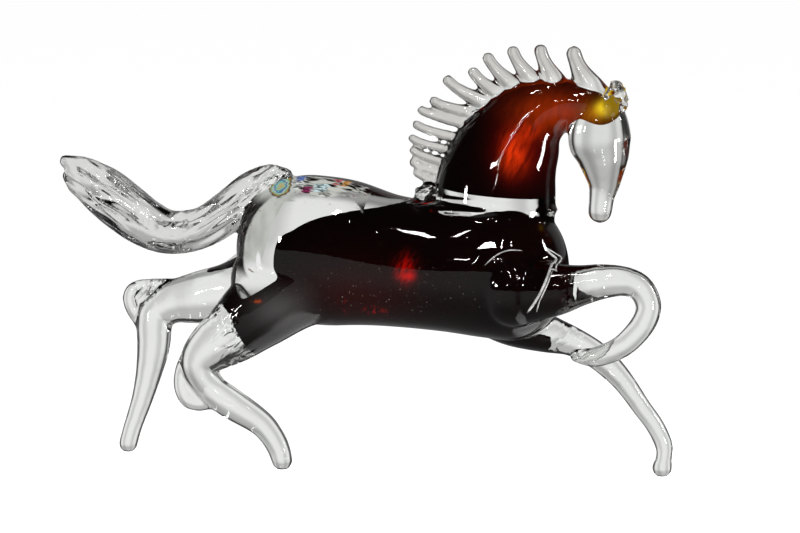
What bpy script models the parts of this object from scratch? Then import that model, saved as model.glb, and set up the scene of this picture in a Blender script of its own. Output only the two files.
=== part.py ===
"""A galloping horse of hot-worked glass, standing on three feet with the near foreleg raised.

Body, neck, head, mane, tail and legs were pulled from one hot gather, so they are one solid.
Each form is a run of stations along a curve. The runs are swept, fused, softened and simplified.
"""
import math

import bmesh
import bpy
from mathutils import Vector

LENGTH = 0.45             # tail tip to raised knee, metres
UNIT = LENGTH / 100       # stations and radii below are in hundredths of the length
FUSE = 0.0020             # voxel that fuses the forms, metres
SOFTEN = 3                # smoothing passes over the fused surface
FACETS = 9000             # triangles left after simplifying
WELD = 0.0001             # vertices closer than this are merged, metres
STEPS = 5                 # rings between two stations
LIMB_SIDES = 24           # sides of a leg's ring
HAIR_SIDES = 12           # sides of a mane or tail strand's ring

# A station: x forward, y to the horse's left, z up, radius in the side view, sideways radius as a share of it
TRUNK = [
    (-7.7, 0, 33.9, 11.75, 0.86), (-2.3, 0, 33.55, 11.5, 0.88), (5.0, 0, 32.6, 10.3, 0.92),
    (13.0, 0, 32.0, 10.05, 0.94), (19.0, 0, 31.9, 10.6, 0.92), (24.3, 0, 31.8, 11.0, 0.86),
]
TRUNK_ENDS = (1.03, 0.83)  # length of the rounded rump and chest, as a share of the end radius
NECK = [
    (22.0, 0, 37.0, 9.1, 0.72), (21.9, 0, 42.4, 9.5, 0.66), (23.1, 0, 47.7, 8.8, 0.62),
    (25.4, 0, 52.2, 7.4, 0.60), (28.3, 0, 55.7, 5.8, 0.62), (32.2, 0, 57.6, 4.0, 0.72),
    (35.8, 0, 58.0, 3.1, 0.85), (38.9, 0, 57.6, 2.3, 1.0),
]
HEAD = [
    (38.5, 0, 58.2, 2.3, 1.0), (38.6, 0, 55.8, 4.1, 0.80), (38.4, 0, 52.4, 4.9, 0.72),
    (38.9, 0, 49.6, 4.1, 0.74), (39.1, 0, 45.8, 2.6, 0.86), (38.8, 0, 43.8, 2.0, 0.95),
    (38.5, 0, 41.35, 1.85, 1.0),
]

# Ellipsoids: middle and half sizes
COLLAR = {"at": (20.4, 0, 41.3), "half": (11.4, 6.6, 1.6)}
WITHERS = {"at": (11.2, 0, 43.2), "half": (2.2, 2.2, 1.5)}
SHOULDER = {"at": (26.2, -4.6, 29.4), "half": (5.9, 5.6, 5.9)}
NEAR_EAR = {"at": (40.6, -2.3, 57.6), "half": (1.3, 1.1, 1.7)}
FAR_EAR = {"at": (41.4, 2.2, 57.6), "half": (1.0, 1.0, 1.0)}
FORELOCK = {"at": (41.2, -0.9, 60.6), "half": (1.1, 1.0, 1.1)}
FORELOCK_ROOT = {"at": (41.2, 1.0, 59.2), "half": (1.2, 1.2, 1.3)}
FAR_HOCK_WEB = {"at": (-37.0, 4.8, 24.4), "half": (3.0, 0.7, 3.0)}
NEAR_HOCK_WEB = {"at": (-24.9, -6.6, 12.4), "half": (2.6, 1.2, 2.8)}

NEAR_THIGH = [
    (-9.9, -4.4, 28.8, 7.0, 0.8), (-15.0, -5.6, 24.4, 5.95, 0.76), (-18.5, -6.4, 21.4, 5.0, 0.76),
    (-22.3, -6.7, 18.6, 3.95, 0.80), (-24.0, -6.8, 16.4, 3.2, 0.85), (-23.4, -6.7, 14.0, 2.6, 0.9),
    (-22.0, -6.6, 12.4, 2.2, 0.95),
]
NEAR_SHANK = [
    (-23.2, -6.6, 12.9, 1.9, 0.95), (-22.0, -6.6, 11.9, 2.4, 0.9), (-19.2, -6.4, 10.1, 2.5, 0.9),
    (-14.5, -6.3, 7.3, 2.1, 0.95), (-12.6, -6.2, 5.3, 1.9, 1), (-11.4, -6.2, 3.3, 1.8, 1),
    (-10.8, -6.2, 1.4, 1.65, 1),
]
NEAR_HOCK_RIM = [
    (-25.6, -6.7, 17.4, 1.5, 1), (-26.8, -6.7, 15.0, 1.35, 1), (-27.1, -6.6, 12.4, 1.3, 1),
    (-26.0, -6.6, 10.3, 1.3, 1), (-23.8, -6.6, 9.9, 1.25, 1), (-21.6, -6.6, 10.6, 1.2, 1),
]
FAR_THIGH = [
    (-9.9, 4.4, 30.5, 6.8, 0.8), (-16.7, 4.9, 29.0, 5.6, 0.8), (-22.0, 5.1, 26.3, 4.85, 0.85),
    (-28.0, 5.1, 25.0, 4.2, 0.9), (-32.0, 4.9, 24.2, 3.5, 0.85), (-34.6, 4.8, 22.9, 2.9, 0.85),
]
FAR_SHANK = [
    (-34.8, 4.8, 23.6, 2.4, 0.85), (-35.5, 4.6, 21.4, 2.9, 0.85), (-35.5, 4.0, 17.0, 2.65, 0.9),
    (-36.3, 3.8, 12.5, 2.1, 0.95), (-37.4, 3.6, 8.3, 1.7, 1), (-38.8, 3.3, 4.1, 1.5, 1),
    (-39.6, 3.2, 1.25, 1.5, 1),
]
FAR_HOCK_RIM = [
    (-31.5, 4.9, 27.0, 1.0, 1), (-35.4, 4.9, 26.7, 1.1, 1), (-38.4, 4.8, 26.3, 1.15, 1),
    (-39.7, 4.8, 24.9, 1.15, 1), (-39.3, 4.8, 22.9, 1.15, 1), (-37.7, 4.7, 20.4, 1.1, 1),
    (-36.8, 4.4, 17.8, 1.0, 1),
]
FAR_FORELEG = [
    (20.0, 4.0, 26.0, 5.3, 0.9), (23.7, 4.4, 23.3, 4.1, 1), (28.8, 4.7, 21.5, 3.1, 1),
    (32.9, 4.7, 20.4, 2.35, 1), (36.3, 4.5, 18.8, 2.15, 1), (38.9, 4.4, 16.9, 2.0, 1),
    (41.6, 4.2, 14.2, 1.7, 1), (44.4, 4.0, 10.5, 1.5, 1), (46.4, 4.0, 7.9, 1.45, 1),
    (47.9, 3.8, 5.0, 1.4, 1), (48.0, 3.8, 3.1, 1.25, 1), (47.7, 3.8, 1.35, 1.6, 1),
]
NEAR_FORELEG = [
    (29.1, -5.4, 29.4, 5.0, 0.85), (33.4, -6.6, 29.9, 4.05, 0.9), (37.2, -7.1, 30.7, 3.15, 0.9),
    (40.5, -7.3, 31.4, 2.7, 0.9), (43.8, -7.3, 31.6, 2.3, 0.95), (46.3, -7.3, 30.9, 2.05, 0.95),
    (47.6, -7.3, 29.0, 2.0, 0.95), (47.8, -7.3, 27.2, 1.95, 0.95), (46.7, -7.1, 24.7, 1.9, 1),
    (43.6, -6.7, 21.5, 1.75, 1), (39.3, -5.8, 19.6, 1.55, 1), (36.3, -5.6, 19.7, 1.1, 1),
]

# The tail is a flattened bundle of pulled strands that twists as it runs back
TAIL = [
    (-12.0, 0, 44.6, 2.0, 0.9), (-14.4, 0, 44.7, 2.5, 0.85), (-17.4, 0, 42.7, 3.2, 0.8),
    (-20.8, 0, 40.0, 3.35, 0.75), (-25.6, 0, 36.9, 3.4, 0.7), (-30.8, 0, 35.9, 3.5, 0.66),
    (-34.9, 0, 37.1, 3.75, 0.62), (-38.8, 0, 39.6, 4.0, 0.56), (-42.6, 0, 42.4, 4.0, 0.50),
    (-45.8, 0, 44.2, 3.4, 0.45), (-48.4, 0, 45.4, 2.5, 0.4),
]
TAIL_CUTS = (3, 1, 0, 1, 3, 5)  # one per strand: rings by which it stops short of the tip
TAIL_TWIST = 150                # degrees over the whole tail
TAIL_HEART = 0.62               # radius of the solid middle as a share of the bundle's
TAIL_HEART_STOP = 4             # rings by which the middle stops short of the tip
TAIL_STRAND = 0.46              # strand radius as a share of the bundle's
TAIL_OUT = 0.58                 # strand centre's distance from the middle, same share
TAIL_FLAT = 0.8                 # strand's sideways radius as a share of its own

# The mane, from the poll back to the withers: root x and z, tip x and z, and belly radius of each strand
MANE = [
    (38.4, 58.6, 34.2, 65.5, 2.2), (32.4, 59.8, 29.1, 65.9, 1.65), (29.7, 59.8, 24.6, 65.5, 1.5),
    (26.9, 59.2, 20.8, 64.5, 1.45), (24.6, 58.2, 18.3, 62.2, 1.4), (22.3, 57.0, 14.4, 60.9, 1.4),
    (20.6, 55.6, 12.0, 57.5, 1.3), (18.8, 54.0, 10.4, 56.8, 1.2), (16.9, 51.9, 9.2, 54.1, 1.2),
    (15.6, 50.0, 8.8, 52.0, 1.1), (14.5, 48.1, 8.8, 50.1, 1.05), (13.6, 46.5, 8.8, 48.2, 1.05),
    (13.4, 45.0, 9.2, 46.5, 1.05),
]
MANE_THROAT = 0.72        # radius where a strand is pulled thinnest
MANE_BULB = 1.02          # radius of its rounded tip
MANE_LEAN = 0.35          # tips lean this far to one side and the other by turns
MANE_BEND = (0.72, 0.42)  # how far along x and z the curve's handle lies from root to tip
MANE_RINGS = 8


def catmull(a, b, c, d, t):
    """The point at share t between b and c of the smooth curve through a, b, c and d."""
    square = 2 * a - 5 * b + 4 * c - d
    cube = 3 * b - a - 3 * c + d
    return 0.5 * (2 * b + (c - a) * t + square * t ** 2 + cube * t ** 3)


def spline(stations):
    """Rings (centre, radius, sideways share) along a smooth curve through the stations."""
    centres = [Vector(s[:3]) for s in stations]
    radii = [Vector(s[3:]) for s in stations]
    last = len(stations) - 1
    rings = []
    for i in range(last):
        around = (max(0, i - 1), i, i + 1, min(last, i + 2))
        for k in range(STEPS + (i == last - 1)):
            t = k / STEPS
            centre = catmull(*[centres[n] for n in around], t)
            radius, share = catmull(*[radii[n] for n in around], t)
            rings.append((centre, radius, share))
    return rings


def frames(rings):
    """Each ring with the curve's direction, its sideways direction and the one across both."""
    rows = []
    last = len(rings) - 1
    for i, (centre, radius, share) in enumerate(rings):
        along = (rings[min(i + 1, last)][0] - rings[max(i - 1, 0)][0]).normalized()
        side = (Vector((0, 1, 0)) - along * along.y).normalized()
        rows.append((centre, radius, share, along, side, along.cross(side)))
    return rows


def rounded_end(row, outward, length, rings):
    """Rings that close a tube with a dome, as long as length times its end radius."""
    centre, radius, share, along, side, rise = row
    dome = []
    for k in range(1, rings + 1):
        angle = math.pi / 2 * k / (rings + 0.5)
        middle = centre + along * outward * radius * length * math.sin(angle)
        dome.append((middle, radius * math.cos(angle), share, along, side, rise))
    return dome


def sweep(mesh, rings, sides, ends=(1.0, 1.0), dome=4):
    """A closed tube of elliptical rings with rounded ends, added to mesh."""
    rows = frames(rings)
    start = rounded_end(rows[0], -1, ends[0], dome)[::-1]
    finish = rounded_end(rows[-1], 1, ends[1], dome)
    loops = []
    for centre, radius, share, along, side, rise in start + rows + finish:
        loop = []
        for k in range(sides):
            angle = 2 * math.pi * k / sides
            out = side * share * math.cos(angle) + rise * math.sin(angle)
            loop.append(mesh.verts.new((centre + out * radius) * UNIT))
        loops.append(loop)
    for near, far in zip(loops, loops[1:]):
        for k in range(sides):
            n = (k + 1) % sides
            mesh.faces.new((near[k], near[n], far[n], far[k]))
    mesh.faces.new(loops[0][::-1])
    mesh.faces.new(loops[-1])


def blob(mesh, at, half):
    """An ellipsoid."""
    made = bmesh.ops.create_uvsphere(mesh, u_segments=24, v_segments=12, radius=1)
    for vertex in made["verts"]:
        vertex.co = Vector([(at[i] + vertex.co[i] * half[i]) * UNIT for i in range(3)])


def mane_strand(mesh, root_x, root_z, tip_x, tip_z, belly, lean):
    """A full belly, a narrow throat, then a bulb; it leaves the crest flat and curls up."""
    root = Vector((root_x, 0, root_z))
    tip = Vector((tip_x, lean, tip_z))
    handle = Vector((root_x + MANE_BEND[0] * (tip_x - root_x), 0, root_z + MANE_BEND[1] * (tip_z - root_z)))
    rings = []
    for k in range(MANE_RINGS + 1):
        t = k / MANE_RINGS
        centre = (1 - t) ** 2 * root + 2 * t * (1 - t) * handle + t ** 2 * tip
        full = min(1, max(0, (0.85 - t) / 0.5))
        full = full ** 2 * (3 - 2 * full)
        bulb = max(0, (t - 0.7) / 0.3)
        radius = MANE_THROAT + (belly - MANE_THROAT) * full + (MANE_BULB - MANE_THROAT) * bulb
        rings.append((centre, radius, 1.0))
    sweep(mesh, rings, HAIR_SIDES, dome=3)


def tail(mesh):
    """The strands of the tail round their solid middle."""
    rings = spline(TAIL)
    heart = [(centre, radius * TAIL_HEART, share) for centre, radius, share in rings]
    sweep(mesh, heart[:-TAIL_HEART_STOP], HAIR_SIDES)
    rows = frames(rings)
    for n, cut in enumerate(TAIL_CUTS):
        line = []
        for i, (centre, radius, share, along, side, rise) in enumerate(rows[:len(rows) - cut]):
            angle = 2 * math.pi * n / len(TAIL_CUTS) + math.radians(TAIL_TWIST) * i / len(rows)
            out = side * share * math.cos(angle) + rise * math.sin(angle)
            line.append((centre + out * radius * TAIL_OUT, radius * TAIL_STRAND, TAIL_FLAT))
        sweep(mesh, line, HAIR_SIDES, ends=(1, 1.6))


def all_forms():
    """Every swept and rounded form in one mesh, still overlapping."""
    mesh = bmesh.new()
    sweep(mesh, spline(TRUNK), 40, ends=TRUNK_ENDS, dome=7)
    sweep(mesh, spline(NECK), 32)
    sweep(mesh, spline(HEAD), 28)
    for run in (NEAR_THIGH, NEAR_SHANK, FAR_THIGH, FAR_SHANK, FAR_FORELEG, NEAR_FORELEG):
        sweep(mesh, spline(run), LIMB_SIDES)
    for rim in (NEAR_HOCK_RIM, FAR_HOCK_RIM):
        sweep(mesh, spline(rim), HAIR_SIDES)
    for lump in (COLLAR, WITHERS, SHOULDER, NEAR_HOCK_WEB, FAR_HOCK_WEB):
        blob(mesh, **lump)
    for lump in (NEAR_EAR, FAR_EAR, FORELOCK, FORELOCK_ROOT):
        blob(mesh, **lump)
    for n, row in enumerate(MANE):
        mane_strand(mesh, *row, lean=MANE_LEAN * (-1) ** n)
    tail(mesh)
    forms = bpy.data.meshes.new("forms")
    mesh.to_mesh(forms)
    mesh.free()
    return forms


def settle(thing):
    """Works the object's modifiers into its mesh."""
    graph = bpy.context.evaluated_depsgraph_get()
    thing.data = bpy.data.meshes.new_from_object(thing.evaluated_get(graph))
    thing.modifiers.clear()


def fuse(forms):
    """One simplified closed surface round all the forms."""
    thing = bpy.data.objects.new("forms", forms)
    bpy.context.scene.collection.objects.link(thing)
    fusing = thing.modifiers.new("Fuse", "REMESH")
    fusing.mode = "VOXEL"
    fusing.voxel_size = FUSE
    softening = thing.modifiers.new("Soften", "SMOOTH")
    softening.factor = 0.5
    softening.iterations = SOFTEN
    settle(thing)
    triangles = sum(len(face.vertices) - 2 for face in thing.data.polygons)
    simplifying = thing.modifiers.new("Simplify", "DECIMATE")
    simplifying.use_collapse_triangulate = True
    simplifying.ratio = FACETS / triangles
    settle(thing)
    return thing


def ground_feet(mesh):
    """Cuts a small flat under each foot, where the maker ground the glass to stand."""
    everything = mesh.verts[:] + mesh.edges[:] + mesh.faces[:]
    bmesh.ops.bisect_plane(mesh, geom=everything, plane_no=(0, 0, 1), clear_inner=True, dist=1e-6)
    rims = [edge for edge in mesh.edges if edge.is_boundary]
    bmesh.ops.holes_fill(mesh, edges=rims, sides=0)
    bmesh.ops.remove_doubles(mesh, verts=mesh.verts, dist=WELD)
    bmesh.ops.triangulate(mesh, faces=mesh.faces)
    bmesh.ops.recalc_face_normals(mesh, faces=mesh.faces)


def centre_in_plan(mesh):
    """Moves the mesh so that its bounding box is centred on the Z axis."""
    for axis in (0, 1):
        places = [vertex.co[axis] for vertex in mesh.verts]
        middle = (min(places) + max(places)) / 2
        for vertex in mesh.verts:
            vertex.co[axis] -= middle
        print("moved along axis", axis, "by mm", round(-middle * 1000, 2))


def clear_glass():
    """Plain clear glass for the solid."""
    made = bpy.data.materials.new("clear_glass")
    made.use_nodes = True
    shader = made.node_tree.nodes["Principled BSDF"]
    shader.inputs["Base Color"].default_value = (0.90, 0.92, 0.93, 1)
    shader.inputs["Roughness"].default_value = 0.03
    shader.inputs["IOR"].default_value = 1.5
    shader.inputs["Transmission Weight"].default_value = 1.0
    return made


def main():
    for thing in list(bpy.data.objects):
        bpy.data.objects.remove(thing, do_unlink=True)
    fused = fuse(all_forms())
    mesh = bmesh.new()
    mesh.from_mesh(fused.data)
    bpy.data.objects.remove(fused, do_unlink=True)
    ground_feet(mesh)
    centre_in_plan(mesh)
    body = bpy.data.meshes.new("glass_horse")
    mesh.to_mesh(body)
    mesh.free()
    body.materials.append(clear_glass())
    horse = bpy.data.objects.new("glass_horse", body)
    group = bpy.data.collections.new("glass_horse")
    bpy.context.scene.collection.children.link(group)
    group.objects.link(horse)


main()
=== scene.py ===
"""A galloping horse of hot-worked cased glass: a dark amber-red gather sealed in a clear casing.

Sizes and colours are properties of the scene, and each group of pieces has an operator that makes it.
"""

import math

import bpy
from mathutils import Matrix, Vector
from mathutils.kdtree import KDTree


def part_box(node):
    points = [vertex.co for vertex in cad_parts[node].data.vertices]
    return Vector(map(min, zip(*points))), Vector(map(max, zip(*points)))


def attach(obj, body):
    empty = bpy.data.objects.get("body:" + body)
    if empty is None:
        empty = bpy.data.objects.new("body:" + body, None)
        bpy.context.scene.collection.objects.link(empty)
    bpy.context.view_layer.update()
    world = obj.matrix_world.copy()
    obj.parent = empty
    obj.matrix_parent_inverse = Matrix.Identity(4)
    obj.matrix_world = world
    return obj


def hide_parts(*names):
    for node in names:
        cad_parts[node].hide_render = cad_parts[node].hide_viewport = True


bl_info = {
    "name": "Cased glass horse",
    "version": (1, 0, 0),
    "blender": (4, 5, 0),
    "location": "3D View > Sidebar > Horse",
    "description": "Builds a galloping horse of hot-worked cased glass on a pale studio floor",
    "category": "Add Mesh",
}

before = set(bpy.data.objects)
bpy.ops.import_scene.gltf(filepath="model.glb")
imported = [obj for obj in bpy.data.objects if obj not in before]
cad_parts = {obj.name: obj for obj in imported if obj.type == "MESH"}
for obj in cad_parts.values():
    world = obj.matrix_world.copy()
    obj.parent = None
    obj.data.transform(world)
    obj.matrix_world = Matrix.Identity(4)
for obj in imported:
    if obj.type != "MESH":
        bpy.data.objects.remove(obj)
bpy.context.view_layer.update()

# The frame's box sets the scale: stations and radii below are in units of about a hundredth of its length
LOW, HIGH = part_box("glass_horse")
REACH = 99.35  # the horse's length in those units
UNIT = (HIGH.x - LOW.x) / REACH
MIDDLE = Vector((0.106, -0.004, 0))  # middle of the stations' box in plan, in the same units
STEPS = 6  # rings between two stations

# A station: x forward, y to the horse's left, z up, radius in the side view, sideways radius as a share of it
TRUNK = [
    (-7.7, 0, 33.9, 11.75, 0.80), (-2.3, 0, 33.55, 11.5, 0.852), (5.0, 0, 32.6, 10.3, 0.976),
    (13.0, 0, 32.0, 10.05, 1.003), (19.0, 0, 31.9, 10.6, 0.943), (24.3, 0, 31.8, 11.0, 0.855),
]
TRUNK_ENDS = (1.03, 0.83)
NECK = [
    (22.0, 0, 37.0, 9.1, 0.72), (21.9, 0, 42.4, 9.5, 0.66), (23.1, 0, 47.7, 8.8, 0.62),
    (25.4, 0, 52.2, 7.4, 0.60), (28.3, 0, 55.7, 5.8, 0.62), (32.2, 0, 57.6, 4.0, 0.72),
    (35.8, 0, 58.0, 3.1, 0.85), (38.9, 0, 57.6, 2.3, 1.0),
]
HEAD = [
    (38.5, 0, 58.2, 2.3, 1.0), (38.6, 0, 55.8, 4.1, 0.80), (38.4, 0, 52.4, 4.9, 0.72),
    (38.9, 0, 49.6, 4.1, 0.74), (39.1, 0, 45.8, 2.6, 0.86), (38.8, 0, 43.8, 2.0, 0.95),
    (38.5, 0, 41.35, 1.85, 1.0),
]
# Lumps of glass: the middle, then how far each reaches along, across and up
COLLAR = {"at": (20.4, 0, 41.3), "half": (11.4, 6.6, 1.6)}
WITHERS = {"at": (11.2, 0, 43.2), "half": (2.2, 2.2, 1.5)}
SHOULDER = {"at": (26.2, -4.6, 29.4), "half": (5.9, 5.6, 5.9)}
HAUNCH = {"at": (-13.3, -3.6, 29.2), "half": (6.5, 5.0, 6.6)}
NEAR_EAR = {"at": (40.6, -2.3, 57.6), "half": (1.3, 1.1, 1.7)}
FAR_EAR = {"at": (41.4, 2.2, 57.6), "half": (1.0, 1.0, 1.0)}
FORELOCK = {"at": (41.2, -0.9, 60.6), "half": (1.1, 1.0, 1.1)}
FORELOCK_ROOT = {"at": (41.2, 1.0, 59.2), "half": (1.2, 1.2, 1.3)}
FAR_HOCK_WEB = {"at": (-37.0, 4.8, 24.4), "half": (3.0, 0.7, 3.0)}
NEAR_HOCK_WEB = {"at": (-24.9, -6.6, 12.4), "half": (2.6, 1.2, 2.8)}
LUMPS = (
    COLLAR, WITHERS, SHOULDER, HAUNCH, NEAR_HOCK_WEB, FAR_HOCK_WEB, NEAR_EAR, FAR_EAR, FORELOCK, FORELOCK_ROOT,
)
NEAR_THIGH = [
    (-2.0, -2.0, 31.6, 8.4, 0.86), (-9.0, -3.8, 29.0, 7.2, 0.76), (-15.0, -5.6, 24.4, 5.95, 0.76),
    (-18.5, -6.4, 21.4, 5.0, 0.76), (-22.3, -6.7, 18.6, 3.95, 0.80), (-24.0, -6.8, 16.4, 3.2, 0.85),
    (-23.4, -6.7, 14.0, 2.6, 0.9), (-22.0, -6.6, 12.4, 2.2, 0.95),
]
NEAR_SHANK = [
    (-23.2, -6.6, 12.9, 1.9, 0.95), (-22.0, -6.6, 11.9, 2.4, 0.9), (-19.2, -6.4, 10.1, 2.5, 0.9),
    (-14.5, -6.3, 7.3, 2.1, 0.95), (-12.6, -6.2, 5.3, 1.9, 1), (-11.4, -6.2, 3.3, 1.8, 1),
    (-10.8, -6.2, 1.4, 1.65, 1),
]
NEAR_HOCK_RIM = [
    (-25.6, -6.7, 17.4, 1.5, 1), (-26.8, -6.7, 15.0, 1.35, 1), (-27.1, -6.6, 12.4, 1.3, 1),
    (-26.0, -6.6, 10.3, 1.3, 1), (-23.8, -6.6, 9.9, 1.25, 1), (-21.6, -6.6, 10.6, 1.2, 1),
]
FAR_THIGH = [
    (-9.9, 4.4, 30.5, 6.8, 0.8), (-16.7, 4.9, 29.0, 5.6, 0.8), (-22.0, 5.1, 26.3, 4.85, 0.85),
    (-28.0, 5.1, 25.0, 4.2, 0.9), (-32.0, 4.9, 24.2, 3.5, 0.85), (-34.6, 4.8, 22.9, 2.9, 0.85),
]
FAR_SHANK = [
    (-34.8, 4.8, 23.6, 2.4, 0.85), (-35.5, 4.6, 21.4, 2.9, 0.85), (-35.5, 4.0, 17.0, 2.65, 0.9),
    (-36.3, 3.8, 12.5, 2.1, 0.95), (-37.4, 3.6, 8.3, 1.7, 1), (-38.8, 3.3, 4.1, 1.5, 1),
    (-39.6, 3.2, 1.25, 1.5, 1),
]
FAR_HOCK_RIM = [
    (-31.5, 4.9, 27.0, 1.0, 1), (-35.4, 4.9, 26.7, 1.1, 1), (-38.4, 4.8, 26.3, 1.15, 1),
    (-39.7, 4.8, 24.9, 1.15, 1), (-39.3, 4.8, 22.9, 1.15, 1), (-37.7, 4.7, 20.4, 1.1, 1),
    (-36.8, 4.4, 17.8, 1.0, 1),
]
FAR_FORELEG = [
    (20.0, 4.0, 26.0, 5.3, 0.9), (23.7, 4.4, 23.3, 4.1, 1), (28.8, 4.7, 21.5, 3.1, 1),
    (32.9, 4.7, 20.4, 2.35, 1), (36.3, 4.5, 18.8, 2.15, 1), (38.9, 4.4, 16.9, 2.0, 1),
    (41.6, 4.2, 14.2, 1.7, 1), (44.4, 4.0, 10.5, 1.5, 1), (46.4, 4.0, 7.9, 1.45, 1),
    (47.9, 3.8, 5.0, 1.4, 1), (48.0, 3.8, 3.1, 1.25, 1), (47.7, 3.8, 1.35, 1.6, 1),
]
NEAR_FORELEG = [
    (29.1, -5.4, 29.4, 5.0, 0.85), (33.4, -6.6, 29.9, 4.05, 0.9), (37.2, -7.1, 30.7, 3.15, 0.9),
    (40.5, -7.3, 31.4, 2.7, 0.9), (43.8, -7.3, 31.6, 2.3, 0.95), (46.3, -7.3, 30.9, 2.05, 0.95),
    (47.6, -7.3, 29.0, 2.0, 0.95), (47.8, -7.3, 27.2, 1.95, 0.95), (46.7, -7.1, 24.7, 1.9, 1),
    (43.6, -6.7, 21.5, 1.75, 1), (39.3, -5.8, 19.6, 1.55, 1), (36.3, -5.6, 19.7, 1.1, 1),
]
TAIL = [
    (-12.0, 0, 44.6, 2.0, 0.9), (-14.4, 0, 44.7, 2.5, 0.85), (-17.4, 0, 42.7, 3.2, 0.8),
    (-20.8, 0, 40.0, 3.35, 0.75), (-25.6, 0, 36.9, 3.4, 0.7), (-30.8, 0, 35.9, 3.5, 0.66),
    (-34.9, 0, 37.1, 3.75, 0.62), (-38.8, 0, 39.6, 4.0, 0.56), (-42.6, 0, 42.4, 4.0, 0.50),
    (-45.8, 0, 44.3, 3.3, 0.45), (-49.0, 0, 45.9, 1.9, 0.4),
]
TAIL_CUTS = (0.06, 0.02, 0.0, 0.02, 0.06, 0.1)  # share of the tail by which each strand stops short
TAIL_TWIST = 150  # degrees from root to tip
TAIL_HEART = 0.5  # radius of the solid middle, as a share of the tail's
TAIL_HEART_STOP = 0.08  # share of the tail by which the middle stops short
TAIL_STRAND = 0.39  # a strand's radius and its distance out, as shares of the tail's radius
TAIL_OUT = 0.66
TAIL_FLAT = 0.8
TAIL_ENDS = (1, 1.6)
# A mane strand: the x and z of its root, the x and z of its tip, and its belly's radius
MANE = [
    (38.4, 58.6, 34.2, 65.4, 2.2), (32.4, 59.8, 29.1, 65.8, 1.75), (29.7, 59.8, 24.6, 65.5, 1.5),
    (26.9, 59.2, 20.8, 64.5, 1.4), (24.6, 58.2, 18.3, 62.2, 1.3), (22.3, 57.0, 14.4, 60.9, 1.25),
    (20.6, 55.6, 12.0, 57.6, 1.0), (18.8, 54.0, 10.2, 56.2, 0.85), (16.9, 51.9, 9.2, 53.9, 0.85),
    (15.6, 50.0, 8.7, 51.8, 0.72), (14.5, 48.1, 8.7, 49.9, 0.7), (13.6, 46.5, 8.8, 48.1, 0.68),
    (13.4, 45.0, 9.2, 46.4, 0.66),
]
MANE_TIP = (0.45, 0.32)  # a tip's radius: the first, plus the second times the belly's
MANE_THIN = (0.95, 0.75)  # a strand is down to that by the first share of its length, over the second
MANE_SWELL = 0.75  # from this share on the tip swells, to MANE_BULB times its radius
MANE_BULB = 1.08
MANE_LEAN = 0.3  # how far the tips lean, to the left and the right by turns
MANE_BEND = (0.72, 0.42)  # where a strand's curve is pulled to: shares of the way along and up
MANE_RINGS = 14

# Ropes of glass wound round the tail's root, from the rump's side outwards, and small knobs, all fused on
ROPES = [
    [(-11.0, -1.3, 45.6, 0.55, 1), (-14.0, -2.0, 43.3, 0.6, 1),
     (-16.7, -2.2, 40.1, 0.55, 1), (-17.8, -1.8, 38.2, 0.4, 1)],
    [(-11.9, -1.2, 46.4, 0.45, 1), (-14.8, -2.2, 44.2, 0.55, 1),
     (-17.2, -2.5, 41.3, 0.5, 1), (-18.6, -2.0, 38.9, 0.4, 1)],
    [(-13.2, -1.3, 46.9, 0.45, 1), (-15.9, -2.3, 44.8, 0.5, 1),
     (-18.3, -2.5, 41.9, 0.45, 1), (-19.8, -2.0, 39.8, 0.35, 1)],
]
KNOBS = [
    ((41.9, -1.9, 58.6), 0.62), ((42.3, -0.5, 57.4), 0.6), ((40.3, -2.1, 59.5), 0.58),
    ((42.0, 0.3, 60.2), 0.5), ((40.6, -1.3, 61.3), 0.45), ((42.3, 0.9, 58.5), 0.55),
    ((39.6, -2.6, 56.2), 0.5), ((10.0, -1.5, 43.8), 0.7), ((12.2, -1.9, 43.0), 0.7),
    ((13.2, -1.3, 44.6), 0.5),
]

# The gather, in the same stations: it is held back from the rump, the back and the collar
TRUNK_CORE = [
    (-9.8, 0, 29.6, 6.3, 0.9), (-6.0, 0, 30.2, 7.3, 0.9), (-1.5, 0, 30.5, 7.7, 0.92),
    (5.0, 0, 30.6, 7.75, 0.95), (11.0, 0, 31.0, 8.3, 0.96), (18.0, 0, 31.7, 9.0, 0.94),
    (25.2, 0, 33.9, 7.3, 0.88),
]
TRUNK_CORE_ENDS = (0.35, 0.75)  # length of the dome at each end, as a share of the end's radius
RUN_CORE_ENDS = (1.0, 0.35)
NECK_CORE_ENDS = (0.1, 1.0)
THIGH_CORE = [
    (-5.0, -2.6, 28.4, 4.0, 0.8), (-9.5, -4.2, 26.0, 3.9, 0.8), (-13.5, -5.3, 23.5, 3.8, 0.76),
    (-16.6, -6.0, 22.0, 3.7, 0.76),
]
RUMP_CORE = [
    (-17.6, -3.2, 32.0, 0.35, 1), (-18.2, -4.2, 29.6, 0.6, 1), (-18.4, -5.0, 27.2, 0.95, 1),
    (-18.2, -5.6, 24.8, 1.5, 1),
]
FAR_THIGH_CORE = [(-4.0, 3.0, 28.0, 4.4, 0.8), (-7.5, 3.8, 27.4, 3.2, 0.8)]
FAR_TOP_CORE = [
    (-16.6, 5.0, 32.7, 0.7, 1), (-18.6, 5.0, 31.9, 0.7, 1), (-22.0, 5.1, 29.9, 0.6, 1),
    (-26.5, 5.1, 28.6, 0.5, 1),
]
SHOULDER_CORE = {"at": (26.2, -4.6, 29.4), "half": (5.0, 4.7, 5.0)}
FORELEG_CORE = [
    (28.5, -5.3, 29.4, 4.3, 0.85), (31.5, -6.1, 29.7, 3.9, 0.9), (34.0, -6.7, 30.0, 3.4, 0.9),
]
FAR_FORELEG_CORE = [
    (17.5, 3.4, 26.6, 4.0, 0.9), (20.4, 4.0, 24.4, 3.0, 1), (23.4, 4.3, 22.6, 1.9, 1),
    (26.6, 4.6, 21.2, 1.1, 1), (29.6, 4.7, 20.2, 0.7, 1),
]
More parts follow.
